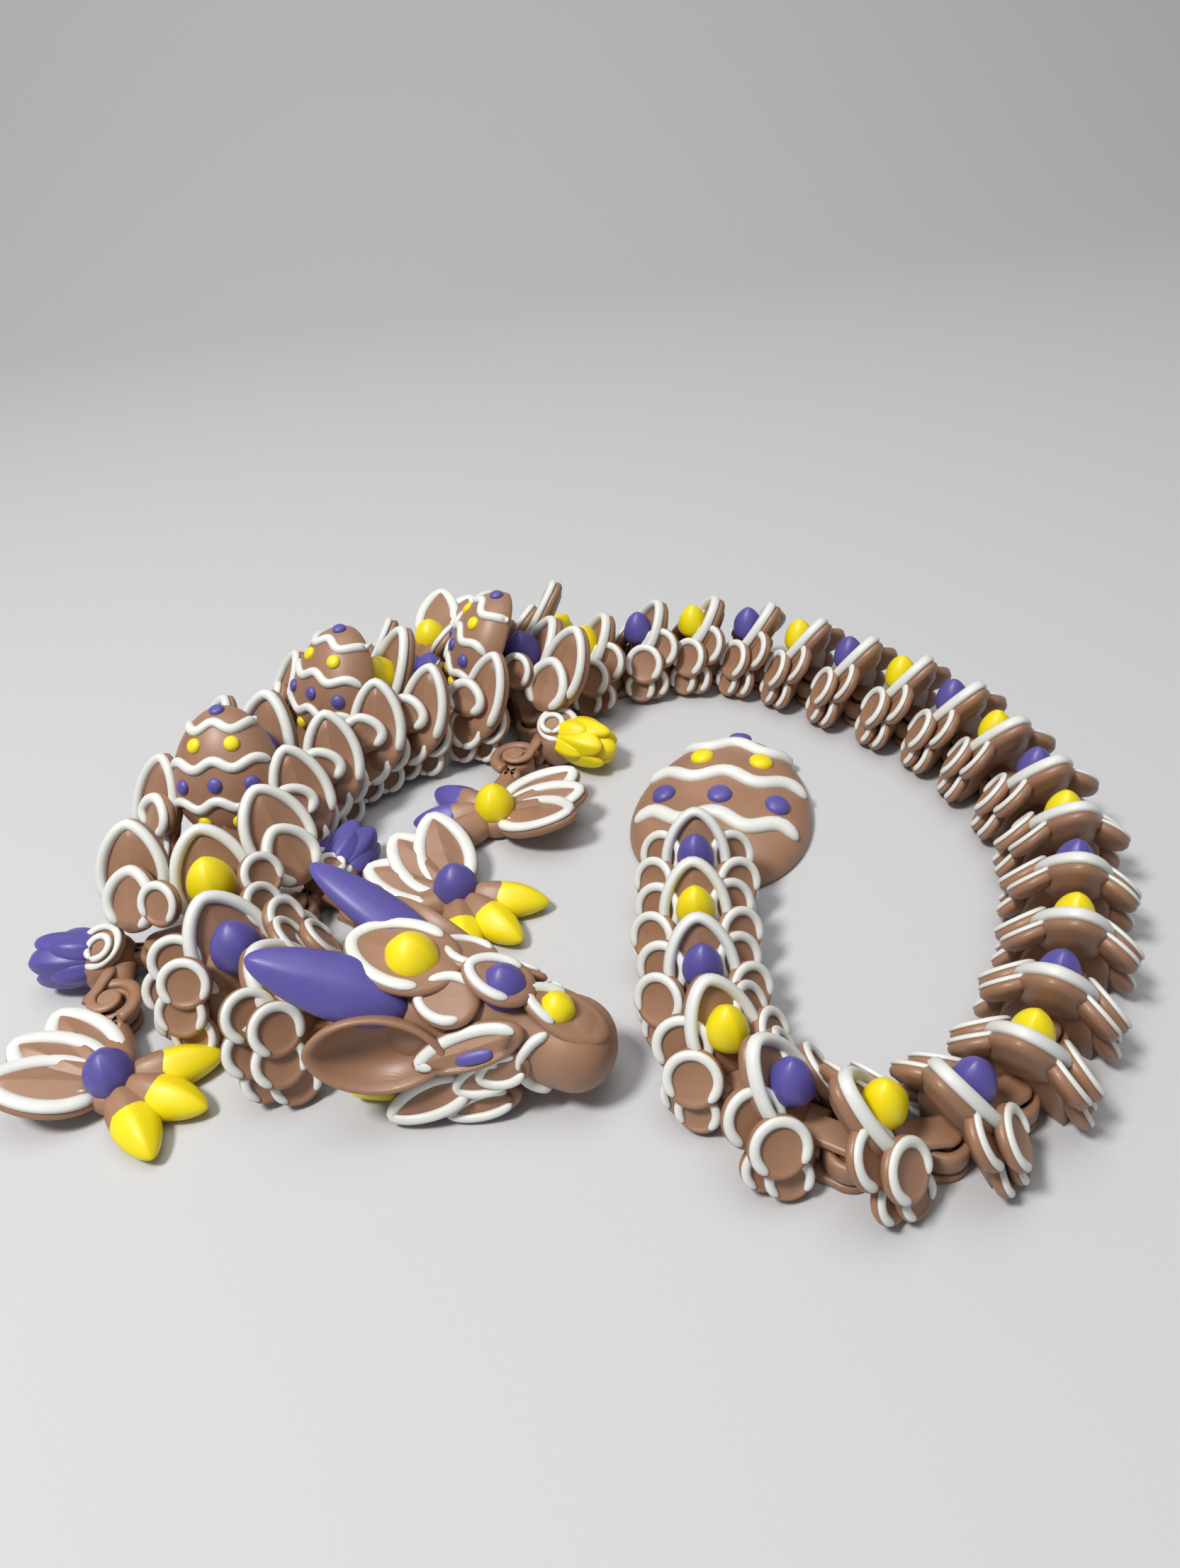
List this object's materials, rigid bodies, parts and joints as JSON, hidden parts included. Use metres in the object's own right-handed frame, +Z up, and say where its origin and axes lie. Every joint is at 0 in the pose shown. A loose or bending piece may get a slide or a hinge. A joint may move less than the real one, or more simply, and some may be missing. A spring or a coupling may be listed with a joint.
{
  "type": "articulated dragon toy",
  "caption": "Print-in-place articulated dragon toy: a coiled chain of scaled links on upright pins, with a long horned head, hinged legs and an egg at the tail.",
  "frame": {"origin": "middle of the overall box, on the plane the toy rests on", "axes": "+Z up; +X along the longest side of the coiled toy; the head points to +X and -Y"},
  "size_m": [0.2561, 0.2463, 0.0413],
  "materials": {
    "brown_silk": "silky printed plastic with fine layer lines, white raised piping on the scale edges",
    "purple_silk": "silky printed plastic",
    "yellow_silk": "silky printed plastic",
    "white_icing": "matt printed plastic, the raised piping on the scales"
  },
  "bodies": {
    "head": {"head": "brown_silk", "horns": "purple_silk", "head_gems_yellow": "yellow_silk", "head_gems_purple": "purple_silk"},
    "neck_link_1": {"neck_link_1": "brown_silk"},
    "neck_link_2": {"neck_link_2": "brown_silk"},
    "shoulder_link": {"shoulder_link": "brown_silk"},
    "egg_link_1": {"egg_link_1": "brown_silk"},
    "body_link_1": {"body_link_1": "brown_silk"},
    "egg_link_2": {"egg_link_2": "brown_silk"},
    "body_link_2": {"body_link_2": "brown_silk"},
    "egg_link_3": {"egg_link_3": "brown_silk"},
    "hip_link": {"hip_link": "brown_silk"},
    "tail_link_00": {"tail_link_00": "brown_silk"},
    "tail_link_01": {"tail_link_01": "brown_silk"},
    "tail_link_02": {"tail_link_02": "brown_silk"},
    "tail_link_03": {"tail_link_03": "brown_silk"},
    "tail_link_04": {"tail_link_04": "brown_silk"},
    "tail_link_05": {"tail_link_05": "brown_silk"},
    "tail_link_06": {"tail_link_06": "brown_silk"},
    "tail_link_07": {"tail_link_07": "brown_silk"},
    "tail_link_08": {"tail_link_08": "brown_silk"},
    "tail_link_09": {"tail_link_09": "brown_silk"},
    "tail_link_10": {"tail_link_10": "brown_silk"},
    "tail_link_11": {"tail_link_11": "brown_silk"},
    "tail_link_12": {"tail_link_12": "brown_silk"},
    "tail_link_13": {"tail_link_13": "brown_silk"},
    "tail_link_14": {"tail_link_14": "brown_silk"},
    "tail_link_15": {"tail_link_15": "brown_silk"},
    "tail_link_16": {"tail_link_16": "brown_silk"},
    "tail_link_17": {"tail_link_17": "brown_silk"},
    "tail_link_18": {"tail_link_18": "brown_silk"},
    "tail_link_19": {"tail_link_19": "brown_silk"},
    "tail_link_20": {"tail_link_20": "brown_silk"},
    "tail_link_21": {"tail_link_21": "brown_silk"},
    "tail_egg": {"tail_egg": "brown_silk"},
    "arm_right": {"arm_right": "brown_silk", "elbow_bud_right": "purple_silk"},
    "fore_foot_right": {"fore_foot_right": "brown_silk", "wrist_gem_right": "purple_silk", "fore_toes_right": "yellow_silk"},
    "thigh_right": {"thigh_right": "brown_silk", "knee_bud_right": "yellow_silk"},
    "hind_foot_right": {"hind_foot_right": "brown_silk", "ankle_gem_right": "yellow_silk", "hind_toes_right": "purple_silk"},
    "arm_left": {"arm_left": "brown_silk", "elbow_bud_left": "purple_silk"},
    "fore_foot_left": {"fore_foot_left": "brown_silk", "wrist_gem_left": "purple_silk", "fore_toes_left": "yellow_silk"},
    "thigh_left": {"thigh_left": "brown_silk", "knee_bud_left": "yellow_silk"},
    "hind_foot_left": {"hind_foot_left": "brown_silk", "ankle_gem_left": "yellow_silk", "hind_toes_left": "purple_silk"}
  },
  "joints": [
    {"name": "head_to_neck_link_1", "type": "hinge", "parent": "neck_link_1", "child": "head", "pos_m": [-0.0455, -0.0652, 0], "axis": [0, 0, 1], "range_deg": [-30, 40]},
    {"name": "neck_link_1_to_neck_link_2", "type": "hinge", "parent": "neck_link_2", "child": "neck_link_1", "pos_m": [-0.0653, -0.05989, 0], "axis": [0, 0, -1], "range_deg": [0, 63]},
    {"name": "neck_link_2_to_shoulder_link", "type": "hinge", "parent": "shoulder_link", "child": "neck_link_2", "pos_m": [-0.07848, -0.04419, 0], "axis": [0, 0, 1], "range_deg": [-20, 1]},
    {"name": "shoulder_link_to_egg_link_1", "type": "hinge", "parent": "egg_link_1", "child": "shoulder_link", "pos_m": [-0.08624, -0.01521, 0], "axis": [0, 0, -1], "range_deg": [0, 55]},
    {"name": "egg_link_1_to_body_link_1", "type": "hinge", "parent": "body_link_1", "child": "egg_link_1", "pos_m": [-0.08433, 0.0067, 0], "axis": [0, 0, 1], "range_deg": [-47, 2]},
    {"name": "body_link_1_to_egg_link_2", "type": "hinge", "parent": "egg_link_2", "child": "body_link_1", "pos_m": [-0.07503, 0.02664, 0], "axis": [0, 0, -1], "range_deg": [-2, 42]},
    {"name": "egg_link_2_to_body_link_2", "type": "hinge", "parent": "body_link_2", "child": "egg_link_2", "pos_m": [-0.06089, 0.0435, 0], "axis": [0, 0, 1], "range_deg": [-52, 1]},
    {"name": "body_link_2_to_egg_link_3", "type": "hinge", "parent": "egg_link_3", "child": "body_link_2", "pos_m": [-0.04095, 0.05279, 0], "axis": [0, 0, -1], "range_deg": [-1, 42]},
    {"name": "egg_link_3_to_hip_link", "type": "hinge", "parent": "egg_link_3", "child": "hip_link", "pos_m": [-0.01928, 0.05661, 0], "axis": [0, 0, -1], "range_deg": [-20, 2]},
    {"name": "hip_link_to_tail_link_00", "type": "hinge", "parent": "hip_link", "child": "tail_link_00", "pos_m": [-0.00057, 0.05991, 0], "axis": [0, 0, 1], "range_deg": [-2, 30]},
    {"name": "tail_link_00_to_tail_link_01", "type": "hinge", "parent": "tail_link_00", "child": "tail_link_01", "pos_m": [0.01585, 0.06431, 0], "axis": [0, 0, -1], "range_deg": [-35, 2]},
    {"name": "tail_link_01_to_tail_link_02", "type": "hinge", "parent": "tail_link_01", "child": "tail_link_02", "pos_m": [0.03227, 0.06871, 0], "axis": [0, 0, 1], "range_deg": [-2, 55]},
    {"name": "tail_link_02_to_tail_link_03", "type": "hinge", "parent": "tail_link_02", "child": "tail_link_03", "pos_m": [0.04921, 0.06723, 0], "axis": [0, 0, -1], "range_deg": [-55, 2]},
    {"name": "tail_link_03_to_tail_link_04", "type": "hinge", "parent": "tail_link_03", "child": "tail_link_04", "pos_m": [0.06461, 0.06005, 0], "axis": [0, 0, 1], "range_deg": [-2, 55]},
    {"name": "tail_link_04_to_tail_link_05", "type": "hinge", "parent": "tail_link_04", "child": "tail_link_05", "pos_m": [0.07663, 0.04803, 0], "axis": [0, 0, -1], "range_deg": [-40, 2]},
    {"name": "tail_link_05_to_tail_link_06", "type": "hinge", "parent": "tail_link_05", "child": "tail_link_06", "pos_m": [0.08756, 0.035, 0], "axis": [0, 0, 1], "range_deg": [-3, 35]},
    {"name": "tail_link_06_to_tail_link_07", "type": "hinge", "parent": "tail_link_06", "child": "tail_link_07", "pos_m": [0.09849, 0.02198, 0], "axis": [0, 0, -1], "range_deg": [-45, 3]},
    {"name": "tail_link_07_to_tail_link_08", "type": "hinge", "parent": "tail_link_07", "child": "tail_link_08", "pos_m": [0.10699, 0.00726, 0], "axis": [0, 0, 1], "range_deg": [-4, 50]},
    {"name": "tail_link_08_to_tail_link_09", "type": "hinge", "parent": "tail_link_08", "child": "tail_link_09", "pos_m": [0.11139, -0.00916, 0], "axis": [0, 0, -1], "range_deg": [-40, 4]},
    {"name": "tail_link_09_to_tail_link_10", "type": "hinge", "parent": "tail_link_09", "child": "tail_link_10", "pos_m": [0.11434, -0.02591, 0], "axis": [0, 0, 1], "range_deg": [-6, 50]},
    {"name": "tail_link_10_to_tail_link_11", "type": "hinge", "parent": "tail_link_10", "child": "tail_link_11", "pos_m": [0.11286, -0.04284, 0], "axis": [0, 0, -1], "range_deg": [-50, 12]},
    {"name": "tail_link_11_to_tail_link_12", "type": "hinge", "parent": "tail_link_11", "child": "tail_link_12", "pos_m": [0.10705, -0.05881, 0], "axis": [0, 0, 1], "range_deg": [-10, 37]},
    {"name": "tail_link_12_to_tail_link_13", "type": "hinge", "parent": "tail_link_12", "child": "tail_link_13", "pos_m": [0.09986, -0.07422, 0], "axis": [0, 0, -1], "range_deg": [-24, 9]},
    {"name": "tail_link_13_to_tail_link_14", "type": "hinge", "parent": "tail_link_13", "child": "tail_link_14", "pos_m": [0.09011, -0.08815, 0], "axis": [0, 0, 1], "range_deg": [-9, 15]},
    {"name": "tail_link_14_to_tail_link_15", "type": "hinge", "parent": "tail_link_14", "child": "tail_link_15", "pos_m": [0.07918, -0.10117, 0], "axis": [0, 0, -1], "range_deg": [-13, 10]},
    {"name": "tail_link_15_to_tail_link_16", "type": "hinge", "parent": "tail_link_15", "child": "tail_link_16", "pos_m": [0.06377, -0.10836, 0], "axis": [0, 0, 1], "range_deg": [-10, 6]},
    {"name": "tail_link_16_to_tail_link_17", "type": "hinge", "parent": "tail_link_16", "child": "tail_link_17", "pos_m": [0.04677, -0.10836, 0], "axis": [0, 0, -1], "range_deg": [-7, 0]},
    {"name": "tail_link_17_to_tail_link_18", "type": "hinge", "parent": "tail_link_17", "child": "tail_link_18", "pos_m": [0.03285, -0.0986, 0], "axis": [0, 0, 1], "range_deg": [-5, 10]},
    {"name": "tail_link_18_to_tail_link_19", "type": "hinge", "parent": "tail_link_18", "child": "tail_link_19", "pos_m": [0.02567, -0.0832, 0], "axis": [0, 0, -1], "range_deg": [-11, 10]},
    {"name": "tail_link_19_to_tail_link_20", "type": "hinge", "parent": "tail_link_19", "child": "tail_link_20", "pos_m": [0.02567, -0.0662, 0], "axis": [0, 0, 1], "range_deg": [-29, 14]},
    {"name": "tail_link_20_to_tail_link_21", "type": "hinge", "parent": "tail_link_20", "child": "tail_link_21", "pos_m": [0.02715, -0.04926, 0], "axis": [0, 0, -1], "range_deg": [-18, 30]},
    {"name": "tail_link_21_to_tail_egg", "type": "hinge", "parent": "tail_link_21", "child": "tail_egg", "pos_m": [0.0301, -0.03252, 0], "axis": [0, 0, 1], "range_deg": [-25, 27]},
    {"name": "shoulder_right", "type": "hinge", "parent": "shoulder_link", "child": "arm_right", "pos_m": [-0.09782, -0.03384, 0], "axis": [0, 0, 1], "range_deg": [-45, 0]},
    {"name": "wrist_right", "type": "hinge", "parent": "arm_right", "child": "fore_foot_right", "pos_m": [-0.10506, -0.05017, 0], "axis": [0, 0, 1], "range_deg": [-45, 0]},
    {"name": "hip_right", "type": "hinge", "parent": "hip_link", "child": "thigh_right", "pos_m": [-0.0127, 0.07402, 0], "axis": [0, 0, 1], "range_deg": [-21, 20]},
    {"name": "ankle_right", "type": "hinge", "parent": "thigh_right", "child": "hind_foot_right", "pos_m": [-0.01999, 0.09033, 0], "axis": [0, 0, -1], "range_deg": [-16, 45]},
    {"name": "shoulder_left", "type": "hinge", "parent": "shoulder_link", "child": "arm_left", "pos_m": [-0.06691, -0.02556, 0], "axis": [0, 0, 1], "range_deg": [-8, 0]},
    {"name": "wrist_left", "type": "hinge", "parent": "arm_left", "child": "fore_foot_left", "pos_m": [-0.04914, -0.02745, 0], "axis": [0, 0, 1], "range_deg": [-13, 1]},
    {"name": "hip_left", "type": "hinge", "parent": "hip_link", "child": "thigh_left", "pos_m": [-0.00715, 0.04251, 0], "axis": [0, 0, 1], "range_deg": [-18, 34]},
    {"name": "ankle_left", "type": "hinge", "parent": "thigh_left", "child": "hind_foot_left", "pos_m": [-0.01239, 0.02543, 0], "axis": [0, 0, -1], "range_deg": [-23, 42]}
  ]
}
